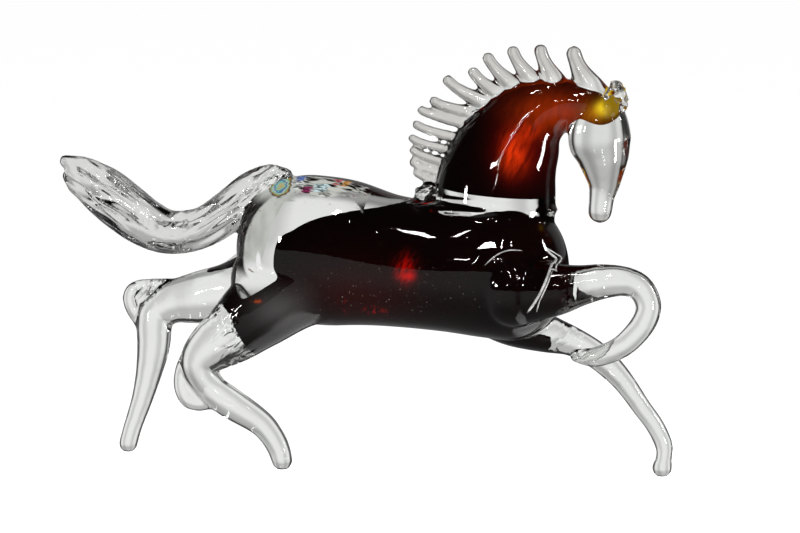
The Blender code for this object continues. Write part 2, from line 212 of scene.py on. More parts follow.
NECK_CORE = [
    (22.2, 0, 44.0, 8.5, 0.62), (22.4, 0, 45.8, 8.2, 0.61), (23.4, 0, 48.6, 7.7, 0.60),
    (25.4, 0, 52.0, 6.5, 0.58), (28.1, 0, 55.3, 5.0, 0.60), (32.0, 0, 57.3, 3.3, 0.70),
    (35.8, 0, 57.7, 2.5, 0.85), (38.6, 0, 56.6, 2.1, 0.9),
]

# The film under the top of the rump is a sheet of painted light and shade: along the body, round it in degrees
# from level, and below the surface
FILM_REACH = (-19.4, 3.0)
FILM_ANGLES = (46, 87)
FILM_DROP = (-10.5, -15.5, -46)  # its lower edge falls between these two places to this angle, over the rump
FILM_ROWS = 16
FILM_DEPTH = 0.55
FILM_THICK = 0.0004  # metres

# Seams on the near side: half width, then points (x, z) that are laid on the casing
SEAMS = [
    (0.2, [(31.0, 36.2), (31.9, 35.0), (32.6, 34.1), (32.7, 32.6),
           (31.9, 30.2), (30.6, 28.0), (29.3, 26.4)]),
    (0.16, [(33.9, 33.0), (33.4, 33.2), (32.7, 33.2)]),
    (0.12, [(31.0, 36.2), (32.2, 35.2), (33.2, 34.0), (33.9, 33.0)]),
    (0.10, [(33.2, 33.0), (32.9, 31.6), (32.2, 29.8), (31.4, 28.2), (30.8, 26.6)]),
    (0.09, [(22.8, 33.6), (24.4, 35.1), (26.3, 35.9), (28.2, 35.8)]),
]
SEAM_DEPTH = 0.08
SEAM_FLAT = 0.5
SEAM_TAPER = (0.35, 0.2)  # width at a seam's ends, and what each ring further in adds to it
SEAM_PASSES = 2  # smoothing of the path
CLEAR_OF_SIDE = -20  # y from which the casing's near side is looked for

# Fineness: sides of each rod, rings of the dome at its ends, and smoothing passes
SIDES = {
    "trunk": 96, "neck": 72, "head": 56, "leg": 40, "rim": 24, "strand": 24, "heart": 32, "rope": 16,
    "seam": 12, "trunk_core": 72, "run_core": 48, "neck_core": 64,
}
DOME = 6
TRUNK_DOME = 14
TRUNK_CORE_DOME = 12
NECK_CORE_DOME = 8
DOME_SPARE = 0.3  # keeps a dome's last ring open for the cap
LUMP_SEGMENTS = 48
KNOB_SEGMENTS = 16
SMOOTHING = 0.5
BODY_PASSES = 6
NECK_PASSES = 4
CUT_MERGE = 1e-6  # metres; points as near as this to the cut under the feet are drawn into it

# Noises: size of a lump in metres, detail, turn about the y axis, and stretch along the turned axes
NOISE_MIDDLE = 0.5
NOISES = {
    "cords": (0.016, 1),
    "crumples": (0.0075, 1, 0.85, (0.7, 1, 1.8)),
    "wrinkles": (0.005, 2, 0, (2.0, 1, 0.8)),
    "hairs": (0.0026, 1, 0.25, (4.5, 1, 0.8)),
    "grey": (0.014, 1, 0, (0.7, 1, 1.8)),
    "bands": (0.0042, 1, 0.2, (5.0, 1, 0.7)),
    "flicker": (0.0017, 2, 0.25, (2.6, 1, 0.8)),
    "silver": (0.004, 2),
    "body": (0.0035, 3, 0.5, (0.7, 1, 2.4)),
    "specks": (0.0011, 0),
    "neck": (0.0042, 2, 0.35, (0.7, 1, 3.2)),
}

# Where the hot glass was joined or pinched, it is crumpled: a station's point, and how far round it
CRUMPLES = [
    ((-14.4, 0, 43.8), (2.0, 4, 2.0)), ((-17.4, 0, 40.0), (1.6, 4, 1.9)),
    ((-18.6, -6, 21.6), (2.4, 3.5, 3.4)), ((35.4, -7, 29.2), (0.6, 5, 1.8)),
    ((11.6, 0, 43.4), (2.2, 4, 1.6)), ((31.0, 4.6, 20.6), (1.8, 2.5, 1.0)),
    ((36.6, -5.6, 19.8), (1.6, 2, 1.4)), ((-36.4, 4.8, 25.4), (2.2, 2.5, 1.8)),
    ((14.6, 0, 49.4), (1.0, 3, 2.4)), ((18.6, 0, 54.9), (1.2, 3, 1.4)),
]
CRUMPLE_HEIGHT = 0.0095  # metres, as the next two are
CORD_HEIGHT = 0.00006
STREAK_HEIGHT = 0.012
# The tail's pulled streaks: their slope in degrees, then where they are and how far round
TAIL_STREAKS = [(-34, (-21.5, 0, 39.0), (7, 5, 4)), (30, (-40.5, 0, 41.0), (9, 5, 6))]
STREAK_NOISE = (0.0078, 1)
STREAK_STRETCH = (8, 1, 1)

# Where the clear glass takes its other tints: each fades in from the first place or height to the second
HEAD_AT = ((38.6, 0, 50), (5.5, 0, 8))
TAIL_FROM = (-14, -19)
TAIL_ABOVE = (30, 33)
CREST_HUB = (30.5, 0, 45.5)  # the crest runs round this point, and the mane begins between these distances
CREST_REACH = (15.2, 17.2)
MANE_FROM = (6, 9)
MANE_UP_TO = (38, 36)
MANE_ABOVE = (43, 45)

# The film's looks, all painted light and shade: its pale grey where white shows through the glass, the painted
# black shade of the rim along the rump's outline, the painted highlights on the leaf, the eye and the glints
PALE_FROM = (-6.5, -11.5)
PALE_ABOVE = (31, 35)
PALE_FRAY = 1.2
PALE_EDGE = (0.15, 0.85)
GREY_RAMP = (0.3, 0.7)
PAINTED_LIGHT_GREYS = ((0.44, 0.45, 0.42), (0.62, 0.63, 0.60))
RUMP_HUB = (-7.7, 0, 33.9)
RUMP_RIM = (12.1, 11.75, 0.287)  # the rump's outline round that point: along, up, and its slant across
RIM_RAMP = (0.88, 0.91)  # shares of that outline between which the rim sets in
RIM_LOW = (33.5, 27)  # between these heights it comes in by RIM_IN
RIM_IN = 0.04
RIM_FRAY = 0.03
RIM_BELOW = (43, 41)
RIM_ABOVE = (29, 31.5)
PAINTED_SHADE_RIM_TINT = (0.004, 0.002, 0.002)
# Painted highlights on the leaf: a station's point and how far round it
PAINTED_LEAF_HIGHLIGHTS = [
    ((-14.0, 0, 32.2), (0.5, 0, 2.0)), ((-10.6, 0, 37.9), (0.8, 0, 0.6)), ((-9.0, 0, 37.6), (0.25, 0, 1.0)),
]
PAINTED_HIGHLIGHT_RAMP = (0.2, 0.6)
PAINTED_HIGHLIGHT_TINT = (0.93, 0.93, 0.94)
PAINTED_EYE_GLINT_AT = ((-11.9, 0, 43.8), (2.3, 0, 1.5))
EYE_FRAY = 0.5
EYE_RAMP = (0.40, 0.48)
PAINTED_EYE_GLINT_STOPS = [
    (0.0, (0.3, 0.3, 0.28)), (0.42, (0.34, 0.34, 0.3)), (0.5, (0.02, 0.02, 0.03)),
    (0.57, (0.45, 0.25, 0.05)), (0.64, (0.1, 0.45, 0.3)), (0.71, (0.55, 0.6, 0.5)),
    (0.79, (0.03, 0.12, 0.32)), (0.88, (0.2, 0.5, 0.45)), (1.0, (0.5, 0.42, 0.16)),
]
PAINTED_LIGHT_BANDS_AT = ((-4.6, 0, 43.9), (4.4, 0, 1.4))
BANDS_RAMP = (0.48, 0.62)
BANDS_EDGE = (0.30, 0.6)
PAINTED_LIGHT_BANDS_TINT = (0.62, 0.63, 0.58)
# A painted glint in rainbow colour: a station's point, how far round it, and its tint
PAINTED_GLINTS = [
    ((-8.7, 0, 44.2), (1.1, 0, 0.8), (0.8, 0.82, 0.8)), ((-9.2, 0, 45.0), (0.9, 0, 0.35), (0.05, 0.16, 0.6)),
    ((-7.0, 0, 43.6), (1.1, 0, 0.7), (0.22, 0.01, 0.08)), ((-4.9, 0, 43.9), (1.5, 0, 0.7), (0.62, 0.8, 0.84)),
    ((-4.2, 0, 42.9), (1.3, 0, 0.5), (0.7, 0.7, 0.66)), ((-1.6, 0, 44.3), (0.9, 0, 0.5), (0.8, 0.34, 0.03)),
    ((-3.0, 0, 44.5), (0.7, 0, 0.4), (0.65, 0.1, 0.12)), ((0.6, 0, 43.3), (1.1, 0, 0.35), (0.55, 0.55, 0.52)),
]
GLINT_FRAY = 2.2
GLINT_RAMP = (0.42, 0.72)
GLINT_DIM = 0.12  # a glint's tint between its flickers, as a share
FLICKER_RAMP = (0.40, 0.58)
FILM_BASE = (0.02, 0.02, 0.02)
FILM_ROUGHNESS = 0.5

SEAM_BASE = (0.3, 0.3, 0.3)
SEAM_ROUGHNESS = 0.3
SEAM_RAMP = (0.3, 0.7)
SEAM_PAINTED_REFLECTION_TINTS = ((0.05, 0.045, 0.045), (0.38, 0.36, 0.36))

# Spots of painted glow in the gather, standing in for light that comes through the glass: a station's point,
# how far round it, its steady share and what streaks add
RUBY_PAINTED_GLOW_SPOT = ((9.9, 0, 32.3), (1.3, 0, 1.5), 0.12, 0.6)
RUBY_PAINTED_GLOW_FOOT = ((10.2, 0, 31.4), (1.1, 0, 0.55), 0.7, 0)
RUBY_PAINTED_GLOW_FLECKS = [((-0.6, 0, 26.6), (0.5, 0, 0.9), 0, 0.5), ((4.6, 0, 26.0), (1.4, 0, 0.5), 0, 0.5)]
RUBY_PAINTED_GLOW_WASH = ((2.0, 0, 28.5), (9, 0, 4.0), 0.028, 0)
# Painted light: a faint pale glow on the thigh's gather.
THIGH_PAINTED_LIGHT = ((-10.5, 0, 25.3), (4.0, 0, 2.6), 0.06, 0)
# Painted glints: small orange glows at the leaf's foot and at the collar.
AMBER_PAINTED_GLINT_SPOTS = [
    (((-14.3, 0, 26.4), (0.7, 0, 0.22), 0, 1), (0.62, 0.09, 0.008)),
    (((27.2, 0, 41.0), (0.7, 0, 0.35), 0, 1), (0.25, 0.07, 0.01)),
]
# Painted glints: white specks that glow over the body.
WHITE_SPECKS_PAINTED = ((6, 0, 29), (18, 0, 4), 0, 0.35)
# In the neck the colour is a painted glow, standing in for light through thin amber: ruby low down, amber at
# the crown, red flames and a yellow cheek, brightest at its heart.
NECK_PAINTED_RUBY_GLOW = ((26.6, 0, 51.0), (3.6, 0, 4.4), 0.12, 0)
CROWN_PAINTED_GLOW = ((31.6, 0, 56.6), (5.4, 0, 2.6), 0.7, 0.3)
FLAME_PAINTED_GLOWS = [((25.8, 0, 50.2), (1.7, 0, 2.5), 0.35, 0.75), ((28.0, 0, 53.8), (1.7, 0, 1.5), 0.1, 0.5)]
CHEEK_PAINTED_GLOW = ((38.1, 0, 56.5), (1.8, 0, 1.5), 0.6, 0.4)
CHEEK_PAINTED_GLOW_HEART = ((39.2, 0, 57.2), (1.0, 0, 1.0), 1, 0)
GLOW_RAMP = (0.36, 0.6)  # between these values of the noise the streaks set in
RUBY_PAINTED_GLOW_FLECK_RAMP = (0.45, 0.62)
AMBER_PAINTED_GLINT_RAMP = (0.3, 0.6)
WHITE_SPECK_PAINTED_RAMP = (0.80, 0.84)
TORN_RAMP = (0.3, 0.66)
BLACK = (0, 0, 0)
THIGH_PAINTED_LIGHT_TINT = (1.0, 0.97, 0.98)
WHITE_SPECK_PAINTED_TINT = (0.8, 0.7, 0.66)
FLAME_PAINTED_GLOW_TINT = (0.95, 0.045, 0.003)
CHEEK_PAINTED_GLOW_TINT = (0.42, 0.13, 0.004)
CHEEK_PAINTED_GLOW_HEART_TINT = (1.0, 0.68, 0.02)
GATHER_ROUGHNESS = 0.6

FRAME_WIDTH = 800  # pixels across the picture
SENSOR = 36  # millimetres across the sensor
CLIP_END = 100  # metres
BOUNCES = 20
FLOOR_RADIUS = 12  # metres
FLOOR_SIDES = 128
FLOOR_Z = -0.0004  # metres; just under the feet
FLOOR_ROUGHNESS = 0.9
FLOOR_TINT = (0.9, 0.9, 0.9)

# The studio that the glass bends and mirrors: where each part sets in, where it is full, and its strength.
# Turns are cosines from straight ahead, sides are sines of the turn, and heights are sines
STUDIO = {
    "far_wall": (0.62, 0.82, 1), "near_wall": (0.62, 0.80, 0.9), "side_walls": (0.88, 0.96, 0.7),
    "gap_inside": (0.10, 0.30, 0.28), "gap_outside": (0.48, 0.34, 1),
    "table": (0.20, -0.04, 1), "below_ceiling": (0.66, 0.58, 1), "above_ground": (-0.74, -0.62, 0.55),
    "straight_down": (-0.93, -0.97, 0.8), "steep": (-0.60, -0.70, 1),
    "mirrored_table": (0.0, -0.015, 1), "table_left": (0.15, -0.15, 1),
    "table_far": (-0.9, -0.3, 0.2), "table_right": (0.1, 0.45, 1.1),
    "mirrored_wall": (0.3, 0.6, 0.25), "above_level": (-0.015, 0.0, 1),
}
GROUND = 0.45  # brightness of the ground before what is added, and that of the mirrored table
# In what the glass mirrors, the table dims towards straight down, to this least brightness under the horse: a
# painted shadow of the horse.
TABLE_IN_PAINTED_SHADOW = 0.13

# Softboxes: the point on the horse that each is aimed at, its way from there, distance, width and height
LAMPS = {
    "back_box": ((0.05, -0.034, 0.172), (-0.222, -0.45, 0.865), 1.2, 0.046, 0.22),
    "back_strip": ((0.026, -0.034, 0.172), (-0.137, -0.565, 0.814), 1.2, 0.006, 0.06),
    "chest_box": ((0.109, -0.038, 0.166), (-0.06, -0.765, 0.64), 1.2, 0.05, 0.26),
    "chest_strip": ((0.119, -0.036, 0.166), (0.25, -0.72, 0.64), 1.2, 0.03, 0.22),
    "neck_box": ((0.104, -0.023, 0.221), (-0.155, -0.95, 0.25), 1.2, 0.16, 0.035),
    "neck_line": ((0.115, -0.023, 0.235), (-0.06, -0.96, 0.22), 1.2, 0.006, 0.2),
    "left_strip": ((0.084, -0.025, 0.201), (-0.65, -0.74, 0.14), 1.2, 0.09, 0.14),
    "throat_strip": ((0.14, -0.013, 0.235), (0.80, -0.52, -0.27), 0.45, 0.07, 0.14),
    "chest_rim": ((0.14, -0.021, 0.162), (0.89, 0.15, 0.42), 1.2, 0.12, 0.25),
}
LAMP_RADIANCE = 40


def catmull(a, b, c, d, t):
    """The point at share t between b and c of the smooth curve through a, b, c and d."""
    square = 2 * a - 5 * b + 4 * c - d
    cube = 3 * b - a - 3 * c + d
    return 0.5 * (2 * b + (c - a) * t + square * t ** 2 + cube * t ** 3)


def spline(stations):
    """Rings (centre, radius, sideways share) along a smooth curve through the stations."""
    centres = [Vector(s[:3]) for s in stations]
    radii = [Vector(s[3:]) for s in stations]
    last = len(stations) - 1
    rings = []
    for i in range(last):
        around = (max(0, i - 1), i, i + 1, min(last, i + 2))
        for k in range(STEPS + (i == last - 1)):
            t = k / STEPS
            centre = catmull(*[centres[n] for n in around], t)
            radius, share = catmull(*[radii[n] for n in around], t)
            rings.append((centre, radius, share))
    return rings


def domed(rings, ends=(1.0, 1.0), dome=DOME):
    """The rings with a dome added at each end, as long as ends times the end's radius."""
    closed = list(rings)
    for where, way in ((0, -1), (-1, 1)):
        centre, radius, share = rings[where]
        beside = rings[1][0] if where == 0 else rings[-2][0]
        along = (centre - beside).normalized()
        length = radius * ends[where]
        cap = []
        for k in range(1, dome + 1):
            angle = math.pi / 2 * k / (dome + DOME_SPARE)
            cap.append((centre + along * length * math.sin(angle), radius * math.cos(angle), share))
        closed = closed + cap if way > 0 else cap[::-1] + closed
    return closed


def placed(point):
    """A station point in metres, with the horse centred in plan as the frame has it."""
    return (Vector(point) - MIDDLE) * UNIT


def choose(*things):
    """Leaves only these objects selected, the first one active."""
    bpy.ops.object.select_all(action="DESELECT")
    for thing in things:
        thing.select_set(True)
    bpy.context.view_layer.objects.active = things[0]


def rod(rings, sides):
    """A closed glass tube through the rings: a bevelled curve made a mesh, then pressed flat sideways."""
    bpy.ops.object.select_all(action="DESELECT")
    bpy.ops.curve.primitive_nurbs_path_add(location=(0, 0, 0))
    made = bpy.context.object
    line = made.data.splines[0]
    line.type = "POLY"
    line.points.add(len(rings) - len(line.points))
    for point, (centre, radius, _) in zip(line.points, rings):
        point.co = (*placed(centre), 1)
        point.radius = radius
    made.data.bevel_depth = UNIT
    made.data.bevel_resolution = (sides - 4) // 2
    made.data.use_fill_caps = True
    bpy.ops.object.convert(target="MESH")
    made = bpy.context.object
    tree = KDTree(len(rings))
    for i, (centre, _, _) in enumerate(rings):
        tree.insert(placed(centre), i)
    tree.balance()
    for vertex in made.data.vertices:
        centre, i, _ = tree.find(vertex.co)
        vertex.co.y = centre.y + (vertex.co.y - centre.y) * rings[i][2]
    return made


def drop(at, half, segments=LUMP_SEGMENTS):
    """An ellipsoid of glass."""
    bpy.ops.object.select_all(action="DESELECT")
    bpy.ops.mesh.primitive_uv_sphere_add(
        segments=segments, ring_count=segments // 2, radius=UNIT, location=placed(at), scale=half)
    bpy.ops.object.transform_apply(location=True, rotation=True, scale=True)
    return bpy.context.object


def mane_strand(root_x, root_z, tip_x, tip_z, belly, lean):
    """A full belly that thins to a slightly swollen tip; it leaves the crest flat and curls up."""
    root = Vector((root_x, 0, root_z))
    tip = Vector((tip_x, lean, tip_z))
    slim = MANE_TIP[0] + MANE_TIP[1] * belly
    handle = Vector((root_x + MANE_BEND[0] * (tip_x - root_x), 0, root_z + MANE_BEND[1] * (tip_z - root_z)))
    rings = []
    for k in range(MANE_RINGS + 1):
        t = k / MANE_RINGS
        centre = (1 - t) ** 2 * root + 2 * t * (1 - t) * handle + t ** 2 * tip
        full = min(1, max(0, (MANE_THIN[0] - t) / MANE_THIN[1]))
        full = full ** 2 * (3 - 2 * full)
        bulb = max(0, (t - MANE_SWELL) / (1 - MANE_SWELL))
        radius = (slim + (belly - slim) * full) * (1 + (MANE_BULB - 1) * bulb)
        rings.append((centre, radius, 1.0))
    return rod(domed(rings), SIDES["strand"])


def tail_strands():
    """The strands of the tail round their solid middle."""
    rings = spline(TAIL)
    last = len(rings) - 1
    heart = [(centre, radius * TAIL_HEART, share) for centre, radius, share in rings]
    made = [rod(domed(heart[:last - round(TAIL_HEART_STOP * last)]), SIDES["heart"])]
    for n, cut in enumerate(TAIL_CUTS):
        line = []
        for i, (centre, radius, share) in enumerate(rings[:len(rings) - round(cut * last)]):
            along = (rings[min(i + 1, last)][0] - rings[max(i - 1, 0)][0]).normalized()
            side = (Vector((0, 1, 0)) - along * along.y).normalized()
            angle = 2 * math.pi * n / len(TAIL_CUTS) + math.radians(TAIL_TWIST) * i / last
            out = side * share * math.cos(angle) + along.cross(side) * math.sin(angle)
            line.append((centre + out * radius * TAIL_OUT, radius * TAIL_STRAND, TAIL_FLAT))
        made.append(rod(domed(line, TAIL_ENDS), SIDES["strand"]))
    return made


def finish_modifier(thing, kind, **settings):
    """Adds a modifier with these settings and applies it."""
    choose(thing)
    bpy.ops.object.modifier_add(type=kind)
    added = thing.modifiers[-1]
    for key, value in settings.items():
        setattr(added, key, value)
    bpy.ops.object.modifier_apply(modifier=added.name)


def fuse(things, name, voxel, passes):
    """One smooth closed surface round all the things."""
    choose(*things)
    bpy.ops.object.join()
    made = bpy.context.object
    made.name = made.data.name = name
    finish_modifier(made, "REMESH", mode="VOXEL", voxel_size=voxel)
    finish_modifier(made, "SMOOTH", factor=SMOOTHING, iterations=passes)
    bpy.ops.object.shade_smooth()
    return made


def dress(thing, material):
    """Gives a finished piece its material, and lets it ride on the horse's one body."""
    thing.data.materials.clear()
    thing.data.materials.append(material)
    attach(thing, "root")


class Signal:
    """A shader socket that Python's operators work on, each adding its Math node."""

    def __init__(self, graph, socket):
        self.graph = graph
        self.socket = socket

    def maths(self, operation, *values):
        """The number that a Math node makes of these."""
        return self.graph.add("ShaderNodeMath", {"operation": operation}, *values)["Value"]

    def __add__(self, other):
        return self.maths("ADD", self, other)

    __radd__ = __add__

    def __sub__(self, other):
        return self.maths("SUBTRACT", self, other)

    def __rsub__(self, other):
        return self.maths("SUBTRACT", other, self)

    def __mul__(self, other):
        return self.maths("MULTIPLY", self, other)

    __rmul__ = __mul__

    def __truediv__(self, other):
        return self.maths("DIVIDE", self, other)

    def __rtruediv__(self, other):
        return self.maths("DIVIDE", other, self)

    def __pow__(self, other):
        return self.maths("POWER", self, other)

    def __neg__(self):
        return self * -1

    def size(self):
        """The number without its sign."""
        return self.maths("ABSOLUTE", self)

    def exp(self):
        """e to the power of the number."""
        return self.maths("EXPONENT", self)

    def capped(self):
        """The number, but never over 1."""
        return self.maths("MINIMUM", self, 1)

    def ramp(self, low, high):
        """0 below low and 1 above high, with a soft rise between; high may be the lower one."""
        settings = {"interpolation_type": "SMOOTHSTEP"}
        named = {"Value": self, "From Min": min(low, high), "From Max": max(low, high)}
        named["To Min"], named["To Max"] = (0, 1) if low < high else (1, 0)
        return self.graph.add("ShaderNodeMapRange", settings, **named)["Result"]

    def along(self, axis, places):
        """0 at the first of two places along the stations' x or z axis, and 1 at the second."""
        return self.ramp(*[getattr(placed((place, 0, place)), axis) for place in places])

    def part(self, name):
        """How bright this part of the studio is."""
        start, full, strength = STUDIO[name]
        return self.ramp(start, full) * strength


class Added:
    """A node just added, whose outputs are read by name."""

    def __init__(self, graph, node):
        self.graph = graph
        self.node = node

    def __getitem__(self, name):
        return Signal(self.graph, self.node.outputs[name])


class Graph:
    """The nodes of one material or world."""

    def __init__(self, owner):
        owner.use_nodes = True
        self.tree = owner.node_tree
        self.tree.nodes.clear()

    def add(self, kind, settings=None, *values, **named):
        """Adds a node: its settings first, then the value or link of each socket."""
        node = self.tree.nodes.new(kind)
        for key, value in (settings or {}).items():
            if key == "stops":
                ramp = node.color_ramp
                while len(ramp.elements) < len(value):
                    ramp.elements.new(1.0)
                for element, (at, colour) in zip(ramp.elements, value):
                    element.position = at
                    element.color = (*colour, 1)
            else:
                setattr(node, key, value)
        for socket, value in zip(node.inputs, values):
            self.feed(socket, value)
        for key, value in named.items():
            self.feed(node.inputs[key], value)
        return Added(self, node)

    def feed(self, socket, value):
        """Links a signal to the socket, or sets its constant."""
        if isinstance(value, Signal):
            self.tree.links.new(value.socket, socket)
        elif socket.type == "RGBA" and len(value) == 3:
            socket.default_value = (*value, 1)
        else:
            socket.default_value = value

    def place(self):
        """The point on the piece, in metres."""
        return self.add("ShaderNodeTexCoord")["Object"]

    def axes(self, vector):
        """A vector's three parts."""
        parts = self.add("ShaderNodeSeparateXYZ", None, vector)
        return parts["X"], parts["Y"], parts["Z"]

    def near(self, point, half):
        """1 at a station's point, fading round it over half; an axis whose half is 0 doesn't count."""
        shares = [1 / (h * UNIT) if h else 0 for h in half]
        off = self.vector("SUBTRACT", self.place(), tuple(placed(point)))
        off = self.vector("MULTIPLY", off, shares)
        return (-self.add("ShaderNodeVectorMath", {"operation": "DOT_PRODUCT"}, off, off)["Value"]).exp()

    def glow(self, spot, streaks=0):
        """How strongly a spot glows: its steady share, and what the streaks add to that."""
        point, half, steady, added = spot
        return self.near(point, half) * (streaks * added + steady)

    def vector(self, operation, *values):
        """The vector that Vector Math makes of these."""
        return self.add("ShaderNodeVectorMath", {"operation": operation}, *values)["Vector"]

    def noise(self, size, detail, turn=0, stretch=(1, 1, 1)):
        """Noise with lumps of about this size in metres, stretched along its turned axes."""
        settings = {"vector_type": "TEXTURE"}
        where = self.add("ShaderNodeMapping", settings, self.place(), (0, 0, 0), (0, turn, 0), stretch)
        named = {"Vector": where["Vector"], "Scale": 1 / size, "Detail": detail}
        return self.add("ShaderNodeTexNoise", {"noise_dimensions": "3D"}, **named)["Fac"]

    def mix(self, share, a, b):
        """Colour a, turning to b as share goes to 1."""
        node = self.tree.nodes.new("ShaderNodeMix")
        node.data_type = "RGBA"
        for socket, value in zip((node.inputs[0], node.inputs[6], node.inputs[7]), (share, a, b)):
            self.feed(socket, value)
        return Signal(self, node.outputs[2])

    def surface(self, **sockets):
        """The Principled shader with these sockets, as the material's surface."""
        named = {key.replace("_", " "): value for key, value in sockets.items()}
        shader = self.add("ShaderNodeBsdfPrincipled", None, **named)
        self.add("ShaderNodeOutputMaterial", None, shader["BSDF"])

    def matt(self, base, roughness, glow, strength=1.0, **sockets):
        """A surface without gloss that glows in a colour."""
        self.surface(Base_Color=base, Roughness=roughness, Specular_IOR_Level=0.0,
                     Emission_Color=glow, Emission_Strength=strength, **sockets)


def clear_glass(colours):
    """Fire-polished clear glass, with the faint cords that pulling leaves in it."""
    made = bpy.data.materials.new("clear_glass")
    graph = Graph(made)
    crumple = 0
    for point, half in CRUMPLES:
        crumple = graph.near(point, half) + crumple
    cords = graph.noise(*NOISES["cords"]) * CORD_HEIGHT
    folds = (graph.noise(*NOISES["crumples"]) - NOISE_MIDDLE).size() * crumple * CRUMPLE_HEIGHT
    for turn, point, half in TAIL_STREAKS:
        streaks = graph.noise(*STREAK_NOISE, math.radians(turn), STREAK_STRETCH)
        folds = folds + streaks * graph.near(point, half) * STREAK_HEIGHT
    bump = graph.add("ShaderNodeBump", Height=cords + folds, Strength=1.0, Distance=1.0)["Normal"]
    colour = graph.mix(graph.near(*HEAD_AT), tuple(colours.clear), tuple(colours.head))
    x, _, z = graph.axes(graph.place())
    tail = x.along("x", TAIL_FROM) * z.along("z", TAIL_ABOVE)
    colour = graph.mix(tail, colour, tuple(colours.tail))
    hub = placed(CREST_HUB)
    reach = ((x - hub.x) * (x - hub.x) + (z - hub.z) * (z - hub.z)) ** 0.5
    mane = reach.ramp(CREST_REACH[0] * UNIT, CREST_REACH[1] * UNIT) * x.along("x", MANE_FROM)
    mane = mane * x.along("x", MANE_UP_TO) * z.along("z", MANE_ABOVE)
    colour = graph.mix(mane, colour, tuple(colours.mane))
    graph.surface(Base_Color=colour, Roughness=0.0, IOR=1.5, Transmission_Weight=1.0, Normal=bump)
    return made


def paint_rump_sheet():
    """Painted light and shade on the sheet over the rump, which glows in them: pale grey, a dark rim,
    highlights, an eye glint, bands and rainbow glints; clear elsewhere.
    """
    made = bpy.data.materials.new("rainbow_film")
    graph = Graph(made)
    x, y, z = graph.axes(graph.place())
    wrinkles = graph.noise(*NOISES["wrinkles"]) - NOISE_MIDDLE
    hairs = graph.noise(*NOISES["hairs"]) - NOISE_MIDDLE
    # Painted light: a glowing pale grey towards the rump, where white shows through the glass.
    pale = (x.along("x", PALE_FROM) + wrinkles * PALE_FRAY).ramp(*PALE_EDGE)
    colour = graph.mix(graph.noise(*NOISES["grey"]).ramp(*GREY_RAMP), *PAINTED_LIGHT_GREYS)
    hub = placed(RUMP_HUB)
    across = (x - hub.x) * (1 / RUMP_RIM[0] / UNIT) + y * (RUMP_RIM[2] / RUMP_RIM[0] / UNIT)
    up = (z - hub.z) * (1 / RUMP_RIM[1] / UNIT)
    edge = (across * across + up * up) ** 0.5
    # Painted shade: a black rim along the rump's outline.
    rim = (edge + z.along("z", RIM_LOW) * RIM_IN + wrinkles * RIM_FRAY).ramp(*RIM_RAMP)
    rim = rim * z.along("z", RIM_BELOW) * z.along("z", RIM_ABOVE)
    colour = graph.mix(rim, colour, PAINTED_SHADE_RIM_TINT)
    # Painted highlights on the leaf.
    painted_highlights = 0
    for point, half in PAINTED_LEAF_HIGHLIGHTS:
        painted_highlights = graph.near(point, half).ramp(*PAINTED_HIGHLIGHT_RAMP) + painted_highlights
    colour = graph.mix(painted_highlights, colour, PAINTED_HIGHLIGHT_TINT)
    pale = pale * z.along("z", PALE_ABOVE) + rim + painted_highlights
    # A painted glint: the eye, in glowing rings of colour.
    eye = graph.near(*PAINTED_EYE_GLINT_AT) + wrinkles * EYE_FRAY
    ringed = graph.add("ShaderNodeValToRGB", {"stops": PAINTED_EYE_GLINT_STOPS}, eye)["Color"]
    colour = graph.mix(eye.ramp(*EYE_RAMP), colour, ringed)
    # Painted light: pale streaks along the back.
    bands = graph.noise(*NOISES["bands"]).ramp(*BANDS_RAMP)
    bands = (graph.near(*PAINTED_LIGHT_BANDS_AT) + hairs).ramp(*BANDS_EDGE) * bands
    colour = graph.mix(bands, colour, PAINTED_LIGHT_BANDS_TINT)
    shown = (pale + bands).capped()
    # Painted glints, flickering in rainbow colours.
    flicker = graph.noise(*NOISES["flicker"]).ramp(*FLICKER_RAMP)
    for point, half, tint in PAINTED_GLINTS:
        share = (graph.near(point, half) + hairs * GLINT_FRAY).ramp(*GLINT_RAMP)
        lit = graph.mix(flicker, tuple(GLINT_DIM * part for part in tint), tint)
        colour = graph.mix(share, colour, lit)
        shown = (shown + share).capped()
    # The sheet glows in these colours, all of them painted light and shade.
    graph.matt(FILM_BASE, FILM_ROUGHNESS, colour, Alpha=shown)
    return made


def seam_silver():
    """A seam's grey with painted reflections: it glows in patches between dark and light grey, for light
    mirrored inside the glass.
    """
    made = bpy.data.materials.new("seam_silver")
    graph = Graph(made)
    # Painted reflections: patches that glow dark and light grey.
    colour = graph.mix(graph.noise(*NOISES["silver"]).ramp(*SEAM_RAMP), *SEAM_PAINTED_REFLECTION_TINTS)
    graph.surface(Base_Color=SEAM_BASE, Roughness=SEAM_ROUGHNESS,
                  Emission_Color=colour, Emission_Strength=1.0)
    return made


